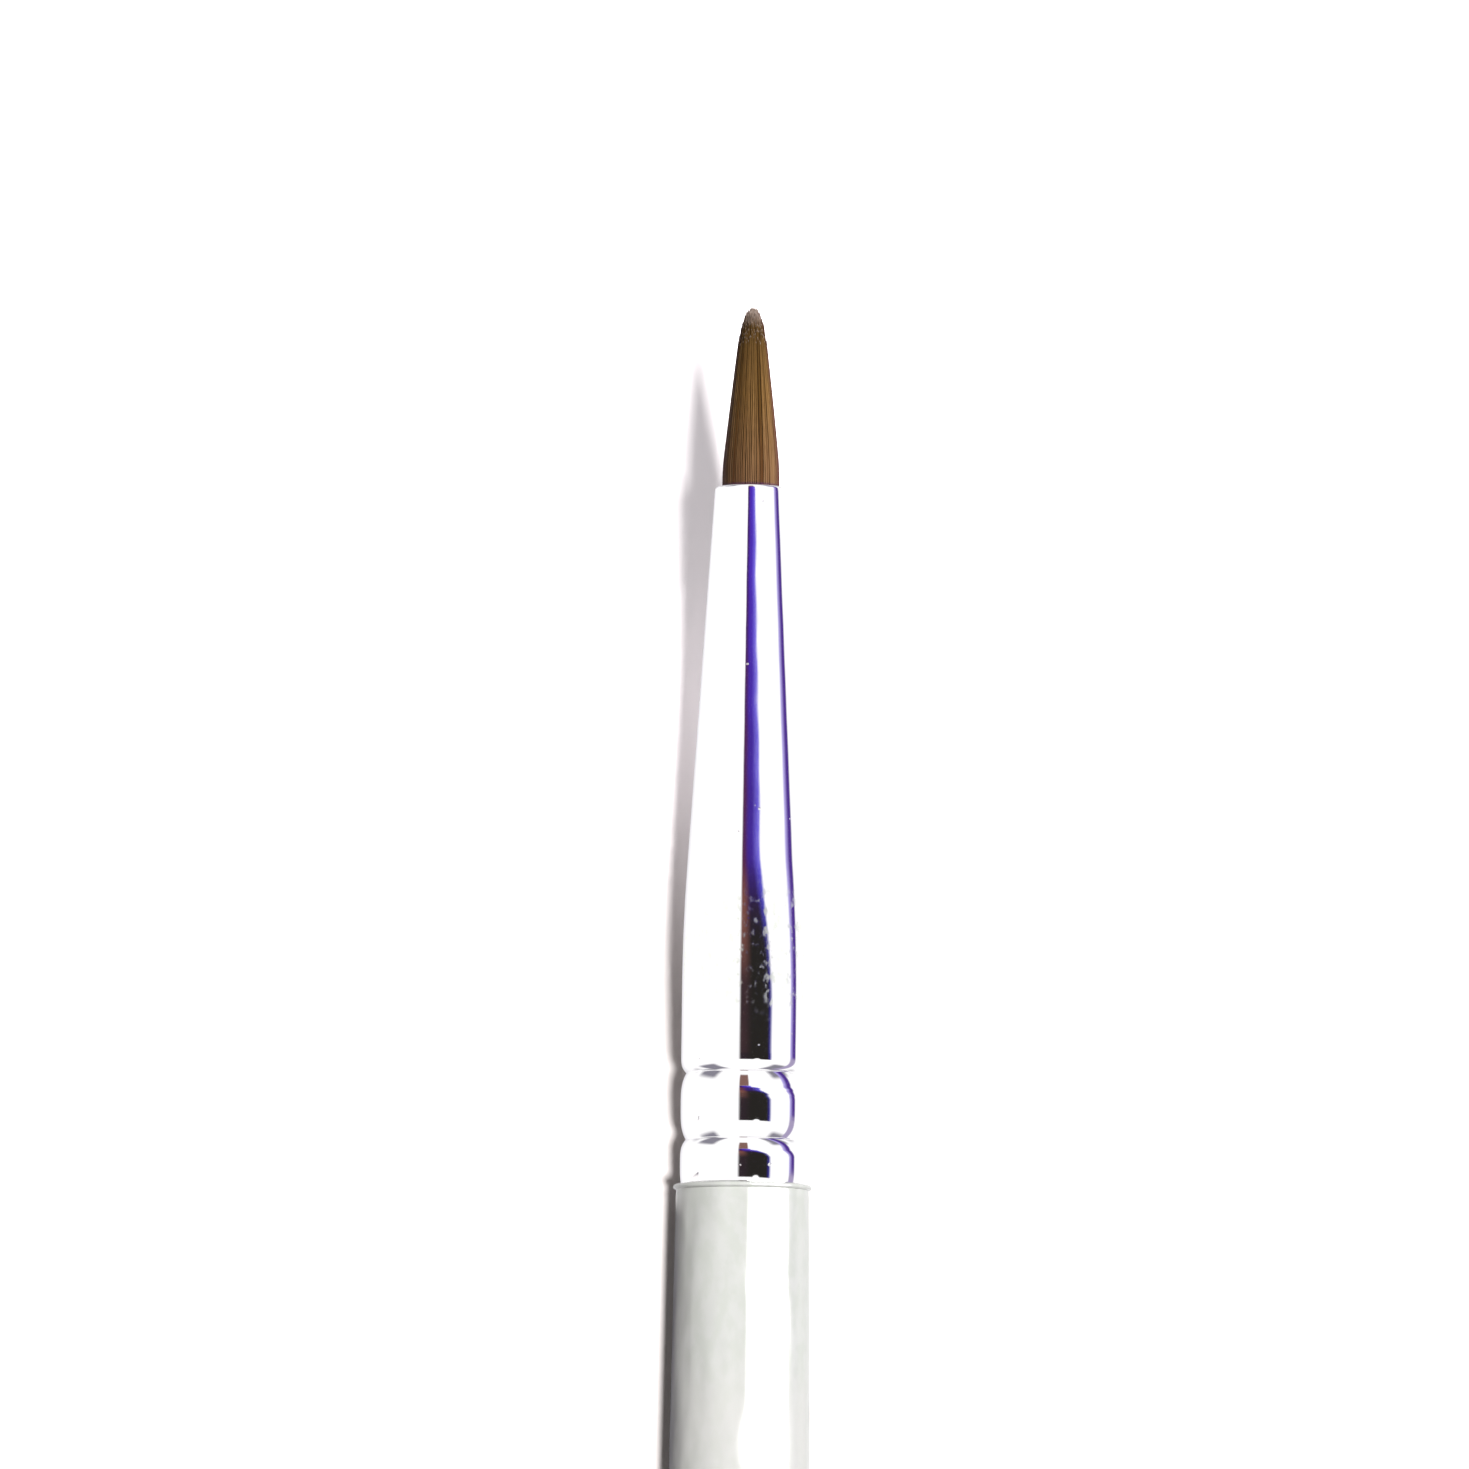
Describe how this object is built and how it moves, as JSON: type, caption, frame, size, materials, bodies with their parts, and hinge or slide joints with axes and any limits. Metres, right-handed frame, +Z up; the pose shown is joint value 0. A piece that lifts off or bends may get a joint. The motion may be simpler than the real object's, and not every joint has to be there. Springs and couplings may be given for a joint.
{
  "type": "fine detail brush",
  "caption": "Fine detail paint brush: short tapered hair tuft that flexes, crimped tapered metal ferrule and a long turned handle in glossy grey lacquer.",
  "frame": {"origin": "on the brush's axis, in the middle of the ferrule's straight run", "axes": "+X along the brush, towards the hair tip; +Z up, across the brush as it lies on a table"},
  "size_m": [0.171, 0.0056, 0.0056],
  "materials": {
    "bare_wood": "matte",
    "primer": "matte",
    "grey_lacquer": "gloss",
    "glue": "satin",
    "bright_plate": "polished",
    "resin": "gloss",
    "thread": "matte",
    "sable_hair": "satin"
  },
  "bodies": {
    "brush": {"handle_core": "bare_wood", "primer_coat": "primer", "gloss_lacquer": "grey_lacquer", "handle_glue": "glue", "ferrule": "bright_plate", "root_resin": "resin", "binding_thread": "thread", "tuft_root": "sable_hair"},
    "hair_base": {"tuft_base": "sable_hair"},
    "hair_middle": {"tuft_middle": "sable_hair"},
    "hair_point": {"tuft_point": "sable_hair"}
  },
  "joints": [
    {"name": "base_bend", "type": "hinge", "parent": "brush", "child": "hair_base", "pos_m": [0.02162, 0, 0], "axis": [0, 0, 1], "range_deg": [-20, 20], "stiffness_Nm_per_rad": 0.00002},
    {"name": "middle_bend", "type": "hinge", "parent": "hair_base", "child": "hair_middle", "pos_m": [0.02352, 0, 0], "axis": [0, 0, 1], "range_deg": [-25, 25]},
    {"name": "point_bend", "type": "hinge", "parent": "hair_middle", "child": "hair_point", "pos_m": [0.02527, 0, 0], "axis": [0, 0, 1], "range_deg": [-30, 30]}
  ],
  "couplings": [
    {"joint": "middle_bend", "follows": "base_bend", "ratio": 1.25},
    {"joint": "point_bend", "follows": "base_bend", "ratio": 1.5}
  ]
}
